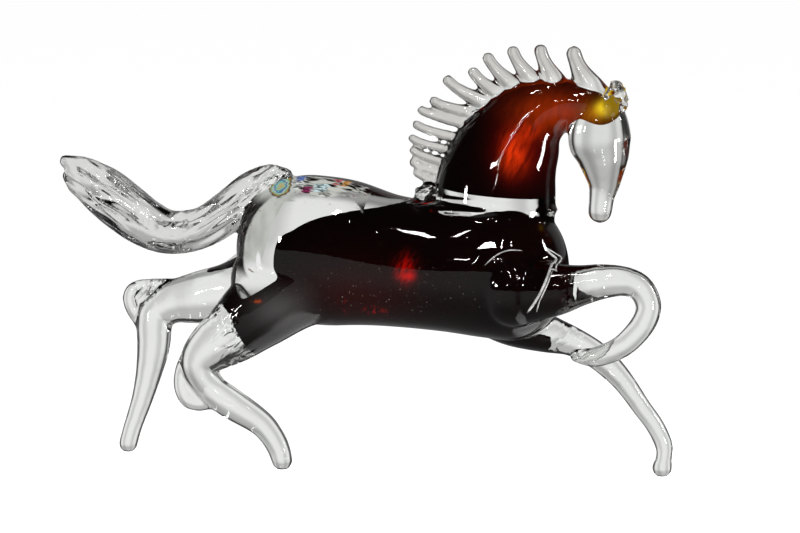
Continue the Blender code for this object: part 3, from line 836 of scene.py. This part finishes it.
def paint_body_glow(colours):
    """The gather's own dark red, nearly black, and painted light on it: a ruby glow where light would come
    through, a pale patch on the thigh, amber glints and white specks.
    """
    made = bpy.data.materials.new("amber_body")
    graph = Graph(made)
    streaks = graph.noise(*NOISES["body"])
    glow = graph.glow(RUBY_PAINTED_GLOW_SPOT, streaks.ramp(*GLOW_RAMP)) + graph.glow(RUBY_PAINTED_GLOW_FOOT)
    for spot in RUBY_PAINTED_GLOW_FLECKS:
        glow = glow + graph.glow(spot, streaks.ramp(*RUBY_PAINTED_GLOW_FLECK_RAMP))
    colour = graph.mix(glow + graph.glow(RUBY_PAINTED_GLOW_WASH), BLACK, tuple(colours.ruby))
    # Painted light on the thigh.
    colour = graph.mix(graph.glow(THIGH_PAINTED_LIGHT), colour, THIGH_PAINTED_LIGHT_TINT)
    # Painted orange glints.
    for spot, tint in AMBER_PAINTED_GLINT_SPOTS:
        colour = graph.mix(graph.glow(spot, streaks.ramp(*AMBER_PAINTED_GLINT_RAMP)), colour, tint)
    # Painted glints: glowing white specks.
    painted_specks = graph.noise(*NOISES["specks"]).ramp(*WHITE_SPECK_PAINTED_RAMP)
    colour = graph.mix(graph.glow(WHITE_SPECKS_PAINTED, painted_specks), colour, WHITE_SPECK_PAINTED_TINT)
    graph.matt(tuple(colours.gather), GATHER_ROUGHNESS, colour)
    return made


def paint_neck_glow(colours):
    """The neck's gather: black at its root and along the crest, and towards the head its own ruby and amber,
    painted as a glow where light would come through, with red flames and a yellow cheek.
    """
    made = bpy.data.materials.new("amber_neck")
    graph = Graph(made)
    torn = graph.noise(*NOISES["neck"]).ramp(*TORN_RAMP)
    colour = graph.mix(graph.glow(NECK_PAINTED_RUBY_GLOW), BLACK, tuple(colours.ruby))
    colour = graph.mix(graph.glow(CROWN_PAINTED_GLOW, torn), colour, tuple(colours.amber))
    painted_flame_glow = 0
    for spot in FLAME_PAINTED_GLOWS:
        painted_flame_glow = graph.glow(spot, torn) + painted_flame_glow
    colour = graph.mix(painted_flame_glow, colour, FLAME_PAINTED_GLOW_TINT)
    colour = graph.mix(graph.glow(CHEEK_PAINTED_GLOW, torn), colour, CHEEK_PAINTED_GLOW_TINT)
    colour = graph.mix(graph.glow(CHEEK_PAINTED_GLOW_HEART), colour, CHEEK_PAINTED_GLOW_HEART_TINT)
    graph.matt(tuple(colours.gather), GATHER_ROUGHNESS, colour)
    return made


def tint(name, description, default):
    """A colour property."""
    return bpy.props.FloatVectorProperty(
        name=name, description=description, subtype="COLOR", size=3, min=0, max=1, default=default)


class HorseColours(bpy.types.PropertyGroup):
    """Colours of the glass."""

    clear: tint("Clear glass", "Tint of the casing", (0.80, 0.81, 0.79))
    head: tint("Head", "Tint of the thick glass of the head", (0.68, 0.69, 0.67))
    tail: tint("Tail", "Tint of the tail's pulled strands", (0.70, 0.70, 0.69))
    mane: tint("Mane", "Tint of the mane's pulled strands", (0.60, 0.59, 0.565))
    gather: tint("Gather", "Dark body of the sealed gather", (0.003, 0.0003, 0.0003))
    # The ruby is the gather's own colour, painted as a glow where light would come through.
    ruby: tint("Ruby", "Glow where light gets through the body", (0.62, 0.004, 0.001))
    # The amber is the neck's own colour, painted as a glow where light would come through.
    amber: tint("Amber", "Glow of the thin neck", (0.36, 0.028, 0.001))


class HorseSizes(bpy.types.PropertyGroup):
    """Fineness of the fused surfaces."""

    casing_voxel: bpy.props.FloatProperty(
        name="Casing voxel", description="Voxel that fuses the clear forms", subtype="DISTANCE",
        unit="LENGTH", default=0.00156)
    core_voxel: bpy.props.FloatProperty(
        name="Gather voxel", description="Voxel that fuses the gather", subtype="DISTANCE",
        unit="LENGTH", default=0.0018)
    casing_passes: bpy.props.IntProperty(
        name="Casing smoothing", description="Smoothing passes over the casing", default=7)


class StageSettings(bpy.types.PropertyGroup):
    """Camera and light."""

    azimuth: bpy.props.FloatProperty(
        name="Camera azimuth", description="Camera's turn towards the head", subtype="ANGLE",
        default=math.radians(16))
    elevation: bpy.props.FloatProperty(
        name="Camera elevation", description="Camera's height above the horizon", subtype="ANGLE",
        default=math.radians(7))
    distance: bpy.props.FloatProperty(
        name="Camera distance", description="From the camera to its target", subtype="DISTANCE",
        unit="LENGTH", default=3.0)
    pixel: bpy.props.FloatProperty(
        name="Pixel", description="Width of one pixel at the target", subtype="DISTANCE",
        unit="LENGTH", default=0.0007)
    target: bpy.props.FloatVectorProperty(
        name="Target", description="Point at the middle of the frame", subtype="XYZ", size=3,
        default=(0.0292, 0.0, 0.1426))
    floor_glow: bpy.props.FloatProperty(
        name="Floor glow", description="Light that the floor gives by itself", default=0.94)
    wall: bpy.props.FloatProperty(
        name="Wall", description="Brightness of the wall that glass shows above the floor", default=0.6)
    room: bpy.props.FloatProperty(
        name="Room", description="Brightness of the dark room round the camera", default=0.02)


class HORSE_OT_stage(bpy.types.Operator):
    """Makes the floor, the light and the camera"""

    bl_idname = "horse.stage"
    bl_label = "Stage"

    def execute(self, context):
        settings = context.scene.horse_stage
        self.camera(context, settings)
        self.floor(settings)
        self.world(context, settings)
        self.lights()
        context.scene.view_settings.view_transform = "Standard"
        context.scene.cycles.use_denoising = True
        context.scene.cycles.denoising_input_passes = "RGB"
        context.scene.cycles.max_bounces = BOUNCES
        context.scene.cycles.transmission_bounces = BOUNCES
        return {"FINISHED"}

    def camera(self, context, settings):
        """The camera at the photograph's viewing angle, turned to its target."""
        turn, rise = settings.azimuth, settings.elevation
        back = Vector((math.sin(turn) * math.cos(rise), -math.cos(turn) * math.cos(rise), math.sin(rise)))
        bpy.ops.object.camera_add(location=Vector(settings.target) + back * settings.distance)
        camera = context.object
        camera.name = "camera"
        camera.rotation_euler = (-back).to_track_quat("-Z", "Y").to_euler()
        camera.data.sensor_width = SENSOR
        camera.data.lens = settings.distance / settings.pixel / FRAME_WIDTH * SENSOR
        camera.data.clip_end = CLIP_END
        context.scene.camera = camera

    def floor(self, settings):
        """A plain pale floor, which the glass takes from the studio's pattern instead."""
        bpy.ops.mesh.primitive_circle_add(
            vertices=FLOOR_SIDES, radius=FLOOR_RADIUS, fill_type="NGON", location=(0, 0, FLOOR_Z))
        floor = bpy.context.object
        floor.name = "floor"
        made = bpy.data.materials.new("floor")
        graph = Graph(made)
        graph.matt(FLOOR_TINT, FLOOR_ROUGHNESS, (1, 1, 1), settings.floor_glow)
        floor.data.materials.append(made)
        floor.visible_glossy = False
        floor.visible_transmission = False

    def world(self, context, settings):
        """White all round to the camera; what glass bends or mirrors is the studio's own pattern."""
        made = bpy.data.worlds.new("studio")
        context.scene.world = made
        graph = Graph(made)
        x, y, z = graph.axes(graph.add("ShaderNodeTexCoord")["Generated"])
        turn = settings.azimuth
        level = (x * x + y * y) ** 0.5
        ahead = (y * math.cos(turn) - x * math.sin(turn)) / level
        right = (x * math.cos(turn) + y * math.sin(turn)) / level
        aside = right.size()
        walls = ahead.part("far_wall") + (-ahead).part("near_wall") + aside.part("side_walls")
        walls = walls - aside.part("gap_inside") * aside.part("gap_outside")
        tone = z.part("table") * (1 - settings.wall) + settings.wall
        window = z.part("below_ceiling") * (z.part("above_ground") + GROUND)
        through = walls * tone * window + z.part("straight_down") + settings.room
        steep = z.part("steep")
        table = z.part("mirrored_table") * ((1 - steep) * right.part("table_left") + steep)
        # Painted shadow: the mirrored table darkens towards straight down, under the horse.
        table = table * (z.part("table_far") + TABLE_IN_PAINTED_SHADOW + right.part("table_right"))
        wall = ahead.part("mirrored_wall") * z.part("above_level") * z.part("below_ceiling")
        mirrored = table + wall + settings.room
        rays = graph.add("ShaderNodeLightPath")
        seen = rays["Is Camera Ray"]
        passed = rays["Is Transmission Ray"]
        strength = seen + passed * through + (1 - seen - passed) * mirrored
        background = graph.add("ShaderNodeBackground", None, (1, 1, 1, 1), strength)
        graph.add("ShaderNodeOutputWorld", None, background["Background"])

    def lights(self):
        """The softboxes whose mirror images are the highlights on the glass."""
        for name, (at, way, reach, width, height) in LAMPS.items():
            way = Vector(way).normalized()
            bpy.ops.object.light_add(type="AREA", location=Vector(at) + way * reach)
            light = bpy.context.object
            light.name = name
            light.rotation_euler = way.to_track_quat("Z", "Y").to_euler()
            light.data.shape = "RECTANGLE"
            light.data.size = width
            light.data.size_y = height
            light.data.energy = LAMP_RADIANCE * math.pi * width * height
            light.visible_camera = False


class HORSE_OT_casing(bpy.types.Operator):
    """Makes the clear casing: body, neck, head, mane, tail and legs in one fused surface"""

    bl_idname = "horse.casing"
    bl_label = "Clear casing"

    def execute(self, context):
        sizes = context.scene.horse_sizes
        things = [rod(domed(spline(TRUNK), TRUNK_ENDS, TRUNK_DOME), SIDES["trunk"])]
        things.append(rod(domed(spline(NECK)), SIDES["neck"]))
        things.append(rod(domed(spline(HEAD)), SIDES["head"]))
        for run in (NEAR_THIGH, NEAR_SHANK, FAR_THIGH, FAR_SHANK, FAR_FORELEG, NEAR_FORELEG):
            things.append(rod(domed(spline(run)), SIDES["leg"]))
        for rim in (NEAR_HOCK_RIM, FAR_HOCK_RIM):
            things.append(rod(domed(spline(rim)), SIDES["rim"]))
        for lump in LUMPS:
            things.append(drop(**lump))
        for n, row in enumerate(MANE):
            things.append(mane_strand(*row, lean=MANE_LEAN * (-1) ** n))
        things.extend(tail_strands())
        for rope in ROPES:
            things.append(rod(domed(spline(rope)), SIDES["rope"]))
        for at, size in KNOBS:
            things.append(drop(at, (size, size, size), KNOB_SEGMENTS))
        casing = fuse(things, "casing", sizes.casing_voxel, sizes.casing_passes)
        bpy.ops.object.mode_set(mode="EDIT")
        bpy.ops.mesh.select_all(action="SELECT")
        bpy.ops.mesh.bisect(
            plane_co=(0, 0, 0), plane_no=(0, 0, 1), use_fill=True, clear_inner=True, threshold=CUT_MERGE)
        bpy.ops.object.mode_set(mode="OBJECT")
        dress(casing, clear_glass(context.scene.horse_colours))
        casing.visible_shadow = False
        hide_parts("glass_horse")
        return {"FINISHED"}


class HORSE_OT_gather(bpy.types.Operator):
    """Makes the dark gather sealed in the casing: body, thighs and shoulder, and the neck apart"""

    bl_idname = "horse.gather"
    bl_label = "Sealed gather"

    def execute(self, context):
        sizes = context.scene.horse_sizes
        colours = context.scene.horse_colours
        things = [rod(domed(spline(TRUNK_CORE), TRUNK_CORE_ENDS, TRUNK_CORE_DOME), SIDES["trunk_core"])]
        for run in (THIGH_CORE, RUMP_CORE, FAR_THIGH_CORE, FAR_TOP_CORE, FORELEG_CORE, FAR_FORELEG_CORE):
            things.append(rod(domed(spline(run), RUN_CORE_ENDS), SIDES["run_core"]))
        things.append(drop(**SHOULDER_CORE))
        body = fuse(things, "gather_body", sizes.core_voxel, BODY_PASSES)
        dress(body, paint_body_glow(colours))
        neck = rod(domed(spline(NECK_CORE), NECK_CORE_ENDS, NECK_CORE_DOME), SIDES["neck_core"])
        neck = fuse([neck], "gather_neck", sizes.core_voxel, NECK_PASSES)
        dress(neck, paint_neck_glow(colours))
        return {"FINISHED"}


class HORSE_OT_painted_rump_sheet(bpy.types.Operator):
    """Makes the sheet of painted light, shade and glints under the top of the rump"""

    bl_idname = "horse.film"
    bl_label = "Rump painted light"

    def execute(self, context):
        rings = domed(spline(TRUNK), TRUNK_ENDS, TRUNK_DOME)
        rings = [ring for ring in rings if FILM_REACH[0] < ring[0].x < FILM_REACH[1]]
        bpy.ops.object.select_all(action="DESELECT")
        bpy.ops.mesh.primitive_grid_add(x_subdivisions=len(rings) - 1, y_subdivisions=FILM_ROWS)
        film = context.object
        film.name = film.data.name = "rump_film"
        for vertex in film.data.vertices:
            i = round((vertex.co.x + 1) / 2 * (len(rings) - 1))
            k = (vertex.co.y + 1) / 2
            centre, radius, share = rings[i]
            fall = min(1, max(0, (centre.x - FILM_DROP[0]) / (FILM_DROP[1] - FILM_DROP[0])))
            low = FILM_ANGLES[0] + (FILM_DROP[2] - FILM_ANGLES[0]) * fall
            angle = math.radians(low + (FILM_ANGLES[1] - low) * k)
            out = Vector((0, -math.cos(angle) * share, math.sin(angle)))
            vertex.co = placed(centre + out * (radius - FILM_DEPTH))
        finish_modifier(film, "SOLIDIFY", thickness=FILM_THICK, offset=-1)
        bpy.ops.object.shade_smooth()
        dress(film, paint_rump_sheet())
        return {"FINISHED"}


class HORSE_OT_seams(bpy.types.Operator):
    """Makes the seams where the near foreleg was joined on, which glow with painted reflections"""

    bl_idname = "horse.seams"
    bl_label = "Seams"

    def execute(self, context):
        casing = bpy.data.objects["casing"]
        things = []
        for width, points in SEAMS:
            rings = []
            path = spline([(x, 0, z, width, SEAM_FLAT) for x, z in points])
            for n, (centre, radius, share) in enumerate(path):
                start = placed((centre.x, CLEAR_OF_SIDE, centre.z))
                hit, where, normal, _ = casing.ray_cast(start, Vector((0, 1, 0)))
                if not hit:
                    raise RuntimeError("A seam misses the casing")
                laid = (where - normal * SEAM_DEPTH * UNIT) / UNIT + MIDDLE
                thin = min(1, SEAM_TAPER[0] + SEAM_TAPER[1] * min(n, len(path) - 1 - n))
                rings.append((laid, radius * thin, share))
            for _ in range(SEAM_PASSES):
                mid = [(a[0] + 2 * b[0] + c[0]) / 4 for a, b, c in zip(rings, rings[1:], rings[2:])]
                rings[1:-1] = [(centre, *ring[1:]) for centre, ring in zip(mid, rings[1:-1])]
            things.append(rod(domed(rings), SIDES["seam"]))
        choose(*things)
        bpy.ops.object.join()
        seams = context.object
        seams.name = seams.data.name = "seams"
        bpy.ops.object.shade_smooth()
        dress(seams, seam_silver())
        return {"FINISHED"}


class HORSE_PT_panel(bpy.types.Panel):
    """Lists the horse's sizes, colours and operators"""

    bl_label = "Cased glass horse"
    bl_idname = "HORSE_PT_panel"
    bl_space_type = "VIEW_3D"
    bl_region_type = "UI"
    bl_category = "Horse"

    def draw(self, context):
        for group in (context.scene.horse_sizes, context.scene.horse_colours, context.scene.horse_stage):
            box = self.layout.box()
            for name in group.bl_rna.properties.keys():
                if name not in ("rna_type", "name"):
                    box.prop(group, name)
        for operator in OPERATORS:
            self.layout.operator(operator.bl_idname)


GROUPS = {"horse_sizes": HorseSizes, "horse_colours": HorseColours, "horse_stage": StageSettings}
OPERATORS = (HORSE_OT_stage, HORSE_OT_casing, HORSE_OT_gather, HORSE_OT_painted_rump_sheet, HORSE_OT_seams)


def register():
    for kind in (*GROUPS.values(), *OPERATORS, HORSE_PT_panel):
        bpy.utils.register_class(kind)
    for name, kind in GROUPS.items():
        setattr(bpy.types.Scene, name, bpy.props.PointerProperty(type=kind))


def unregister():
    for name in GROUPS:
        delattr(bpy.types.Scene, name)
    for kind in (HORSE_PT_panel, *OPERATORS[::-1], *list(GROUPS.values())[::-1]):
        bpy.utils.unregister_class(kind)


def main():
    register()
    bpy.ops.horse.stage()
    bpy.ops.horse.casing()
    bpy.ops.horse.gather()
    bpy.ops.horse.film()
    bpy.ops.horse.seams()


if __name__ == "__main__":
    main()
